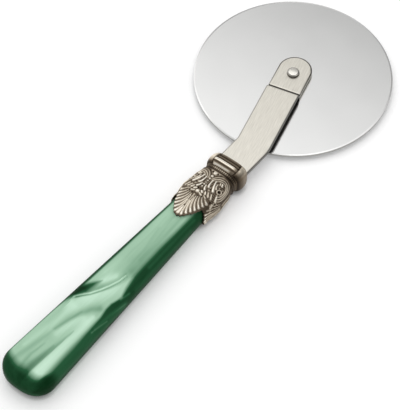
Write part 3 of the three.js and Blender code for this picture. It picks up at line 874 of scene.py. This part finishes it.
def polished_steel():
    material, nodes, links, main = shader("polished_steel")
    place = nodes.new("ShaderNodeTexCoord").outputs["Object"]
    rings = nodes.new("ShaderNodeTexWave")
    rings.wave_type = "RINGS"
    rings.rings_direction = "Z"
    rings.inputs["Scale"].default_value = 900
    rings.inputs["Distortion"].default_value = 6
    rings.inputs["Detail"].default_value = 3
    links.new(place, rings.inputs["Vector"])
    haze = clouds(nodes, links, 60, detail=4, place=place)
    clean = colour_ramp(nodes, links, haze, [(0.3, "e4e4e3"), (0.7, "e8e8e7")])
    # Painted shade darkens the rim's edge.
    tint = painted_dark(nodes, links, clean, stored(nodes, "painted_rim_shade"), "a6a5a2")
    links.new(tint, main.inputs["Base Color"])
    links.new(remapped(nodes, links, haze, 0.13, 0.17), main.inputs["Roughness"])
    finely_marked(nodes, links, main, rings.outputs["Fac"], 0.02, 0.01 * mm)
    main.inputs["Metallic"].default_value = 1
    return material


# Rows marked 1 are the rim's edge, painted darker as a painted shade.
wheel_rows = [
    (bore_radius, wheel_low.z, 0),
    (wheel_radius - rim_land, wheel_low.z, 0),
    (wheel_radius - land_edge, wheel_low.z + land_fall, 0),
    (wheel_radius - edge_step, wheel_low.z + land_fall + edge_step, 1),
    (wheel_radius, wheel_middle, 1),
    (wheel_radius - edge_step, wheel_high.z - land_fall - edge_step, 1),
    (wheel_radius - land_edge, wheel_high.z - land_fall, 0),
    (wheel_radius - rim_land, wheel_high.z, 0),
    (bore_radius, wheel_high.z, 0),
    (bore_radius, wheel_low.z, 0),
]
wheel_piece = turned_piece("steel_wheel", wheel_rows, 240, 5, "painted_rim_shade")
wheel_piece.data.materials.append(polished_steel())
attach(wheel_piece, "wheel")
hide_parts("cutting_wheel")

# Axle rivet: a shouldered stainless rivet with a flat rear head that the cutter lies on.
# Its thin end is peened over the tab into a small, slightly domed button; its foot, side and shoulder are
# painted dark, a painted shade.
rear_head_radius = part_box("axle_rivet")[1].x
rear_head_height = 1.5 * mm
head_round = 0.4 * mm
shank_radius = 2.5 * mm
tenon_radius = 1.8 * mm
button_radius = 2.45 * mm
button_height = 1.25 * mm
face_radius = 1.85 * mm
dome = 0.14 * mm
shoulder_fall = 0.16 * mm
tab_bottom = tab_top - strip_thickness
button_top = tab_top + button_height
shoulder_top = button_top - dome - shoulder_fall


def bright_rivet_steel():
    material, nodes, links, main = shader("bright_rivet_steel")
    marks = clouds(nodes, links, 1500, detail=3)
    clean = colour_ramp(nodes, links, marks, [(0.3, "eae7df"), (0.7, "f6f3eb")])
    # Painted shade darkens the button's foot, side and shoulder.
    tint = painted_dark(nodes, links, clean, stored(nodes, "painted_button_shade"), "3c3630")
    links.new(tint, main.inputs["Base Color"])
    links.new(remapped(nodes, links, marks, 0.16, 0.3), main.inputs["Roughness"])
    main.inputs["Metallic"].default_value = 1
    return material


rivet_rows = [(0.01 * mm, 0, 0), (rear_head_radius - head_round, 0, 0)]
for sweep in np.radians([20, 45, 70]):
    inward = head_round * (1 - math.sin(sweep))
    rivet_rows.append((rear_head_radius - inward, head_round * (1 - math.cos(sweep)), 0))
rivet_rows += [
    (rear_head_radius, head_round, 0),
    (rear_head_radius, rear_head_height, 0),
    (shank_radius, rear_head_height, 0),
    (shank_radius, tab_bottom, 0),
    (tenon_radius, tab_bottom, 0),
    (tenon_radius, tab_top, 0),
    (button_radius + 0.1 * mm, tab_top + 0.01 * mm, 1),
    (button_radius, tab_top + 0.1 * mm, 0.9),
    (button_radius, shoulder_top - 0.2 * mm, 0.7),
    (button_radius - 0.06 * mm, shoulder_top - 0.06 * mm, 0.6),
    (button_radius - 0.2 * mm, shoulder_top, 0.6),
    (face_radius + 0.08 * mm, button_top - dome - 0.02 * mm, 0.6),
]
for share in (1, 0.8, 0.6, 0.4, 0.2, 0.005):
    rivet_rows.append((share * face_radius, button_top - dome * share**2, 0))
rivet_piece = turned_piece("rivet", rivet_rows, 72, 40, "painted_button_shade")
rivet_piece.data.materials.append(bright_rivet_steel())
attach(rivet_piece, "frame")
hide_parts("axle_rivet")

# Table: a flat white board under the cutter, which is no part of it.
# It is bright enough to show as white, darkens in the shadows, and is painted darker close to what lies on
# it, a painted contact shadow.
floor_half = 1.5
floor_top = -0.02 * mm
floor_corners = []
for x, y in [(-1, -1), (1, -1), (1, 1), (-1, 1)]:
    floor_corners.append((x * floor_half, y * floor_half, floor_top))
floor_mesh = bpy.data.meshes.new("table")
floor_mesh.from_pydata(floor_corners, [], [(0, 1, 2, 3)])
floor = bpy.data.objects.new("table", floor_mesh)
bpy.context.scene.collection.objects.link(floor)


def seen_directly(nodes, links):
    """1 for rays from the camera, mirrors and glass, which see the white background."""
    rays = nodes.new("ShaderNodeLightPath").outputs
    camera_or_mirror = calculated(nodes, links, "MAXIMUM", rays["Is Camera Ray"], rays["Is Glossy Ray"])
    return calculated(nodes, links, "MAXIMUM", camera_or_mirror, rays["Is Transmission Ray"])


def white_table():
    material, nodes, links, main = shader("white_table")
    nodes.remove(main)
    # Painted contact shadow: the board's colour darkens close to what lies on it.
    contact_shade = nodes.new("ShaderNodeAmbientOcclusion")
    contact_shade.inputs["Color"].default_value = (0.9, 0.9, 0.9, 1)
    contact_shade.inputs["Distance"].default_value = 2.4 * mm
    paper = nodes.new("ShaderNodeBsdfDiffuse")
    links.new(contact_shade.outputs["Color"], paper.inputs["Color"])
    glow = nodes.new("ShaderNodeEmission")
    level = calculated(nodes, links, "MULTIPLY", seen_directly(nodes, links), 0.222)
    links.new(contact_shade.outputs["Color"], glow.inputs["Color"])
    links.new(level, glow.inputs["Strength"])
    both = nodes.new("ShaderNodeAddShader")
    links.new(paper.outputs["BSDF"], both.inputs[0])
    links.new(glow.outputs["Emission"], both.inputs[1])
    links.new(both.outputs["Shader"], nodes["Material Output"].inputs["Surface"])
    return material


floor_mesh.materials.append(white_table())

# Studio light: even light from all round with a weak soft box overhead, so the shadows stay soft.
# The metal sees a room that is white on the far left and grey to the right.
room_axis = (0.35, 0.88, 0.25)
room_shades = [(0, "6a6a6a"), (0.3, "7e7e7e"), (0.5, "a4a4a4"), (0.75, "cccccc"), (0.95, "ffffff")]
soft_box_place = Vector((0.06, 0.2, 0.52))
soft_box_aim = Vector((-0.06, -0.01, 0))


def along_axis(nodes, links, place, axis):
    """How far a place lies along an axis."""
    node = nodes.new("ShaderNodeVectorMath")
    node.operation = "DOT_PRODUCT"
    node.inputs[1].default_value = axis
    links.new(place, node.inputs[0])
    return node.outputs["Value"]


world = bpy.data.worlds.new("studio")
bpy.context.scene.world = world
world.use_nodes = True
nodes, links = world.node_tree.nodes, world.node_tree.links
fill = nodes["Background"]
fill.inputs["Color"].default_value = (1, 1, 1, 1)
fill.inputs["Strength"].default_value = 0.82
direction = nodes.new("ShaderNodeTexCoord")
toward_left = along_axis(nodes, links, direction.outputs["Generated"], room_axis)
shade = remapped(nodes, links, toward_left, 0, 1, start=-1)
walls = nodes.new("ShaderNodeBackground")
links.new(colour_ramp(nodes, links, shade, room_shades), walls.inputs["Color"])
switch = nodes.new("ShaderNodeMixShader")
links.new(seen_directly(nodes, links), switch.inputs["Fac"])
links.new(fill.outputs["Background"], switch.inputs[1])
links.new(walls.outputs["Background"], switch.inputs[2])
links.new(switch.outputs["Shader"], nodes["World Output"].inputs["Surface"])

lamp = bpy.data.lights.new("key_soft_box", "AREA")
lamp.shape = "RECTANGLE"
lamp.size = 0.6
lamp.size_y = 0.6
lamp.energy = 0.8
soft_box = bpy.data.objects.new("key_soft_box", lamp)
soft_box.location = soft_box_place
soft_box.rotation_mode = "QUATERNION"
soft_box.rotation_quaternion = (soft_box_aim - soft_box_place).to_track_quat("-Z", "Y")
soft_box.visible_glossy = False
bpy.context.scene.collection.objects.link(soft_box)

# Reflector: two white sheets hung overhead for the steel to mirror, with a gap over the wheel.
# The left sheet is dimmer; the main one fades to grey at its far edge and to the right.
sheet_height = 0.45
sheet_near = -0.35
sheet_far = 0.75
gap_left = -0.055
gap_right = 0.06
sheet_points = []
for left, right in [(-0.45, gap_left), (gap_right, 0.7)]:
    for x, y in [(left, sheet_near), (right, sheet_near), (right, sheet_far), (left, sheet_far)]:
        sheet_points.append((x, y, sheet_height))
sheet_mesh = bpy.data.meshes.new("reflector")
sheet_mesh.from_pydata(sheet_points, [], [(0, 1, 2, 3), (4, 5, 6, 7)])
sheet = bpy.data.objects.new("reflector", sheet_mesh)
bpy.context.scene.collection.objects.link(sheet)


def fading_sheet():
    material, nodes, links, main = shader("fading_sheet")
    nodes.remove(main)
    place = nodes.new("ShaderNodeTexCoord").outputs["Object"]
    along = along_axis(nodes, links, place, (0.9975, 0.07, 0))
    toward_right = along_axis(nodes, links, place, (0.6, -0.8, 0))
    far_edge = remapped(nodes, links, along, 1.14, 0.41, start=0.25, end=0.43)
    left_sheet = remapped(nodes, links, along, 0.52, 1, start=gap_left, end=gap_right)
    near_gap = remapped(nodes, links, along, 1.35, 1, start=0.08, end=0.18, soft=True)
    right_side = remapped(nodes, links, toward_right, 1, 0.3, start=0.3, end=0.5, soft=True)
    level = far_edge
    for share in (left_sheet, near_gap, right_side):
        level = calculated(nodes, links, "MULTIPLY", level, share)
    glow = nodes.new("ShaderNodeEmission")
    links.new(level, glow.inputs["Strength"])
    links.new(glow.outputs["Emission"], nodes["Material Output"].inputs["Surface"])
    return material


sheet_mesh.materials.append(fading_sheet())
sheet.visible_camera = False
sheet.visible_diffuse = False
sheet.visible_shadow = False

# Camera: stands on the handle's right and looks down at the cutter as it lies on the table.
# It is placed by how far right of and above the middle of the picture the wheel's centre comes.
camera_azimuth = math.radians(-51.5)
camera_elevation = math.radians(53.66)
camera_distance = 1.0
focal_pixels = 2488.3
image_long_side = 410
wheel_right = 37.38 * mm
wheel_up = 51.58 * mm
camera_data = bpy.data.cameras.new("camera")
camera_data.sensor_width = 36
camera_data.lens = focal_pixels / image_long_side * camera_data.sensor_width
camera_data.clip_start = 0.05
camera = bpy.data.objects.new("camera", camera_data)
right = Vector((math.cos(camera_azimuth), math.sin(camera_azimuth), 0))
toward = Vector((
    math.sin(camera_azimuth) * math.cos(camera_elevation),
    -math.cos(camera_azimuth) * math.cos(camera_elevation),
    math.sin(camera_elevation),
))
upward = toward.cross(right)
wheel_centre = Vector((0, 0, wheel_high.z))
camera.matrix_world = Matrix((right, upward, toward)).transposed().to_4x4()
camera.location = wheel_centre - right * wheel_right - upward * wheel_up + toward * camera_distance
bpy.context.scene.collection.objects.link(camera)
bpy.context.scene.camera = camera
bpy.context.scene.view_settings.view_transform = "Standard"
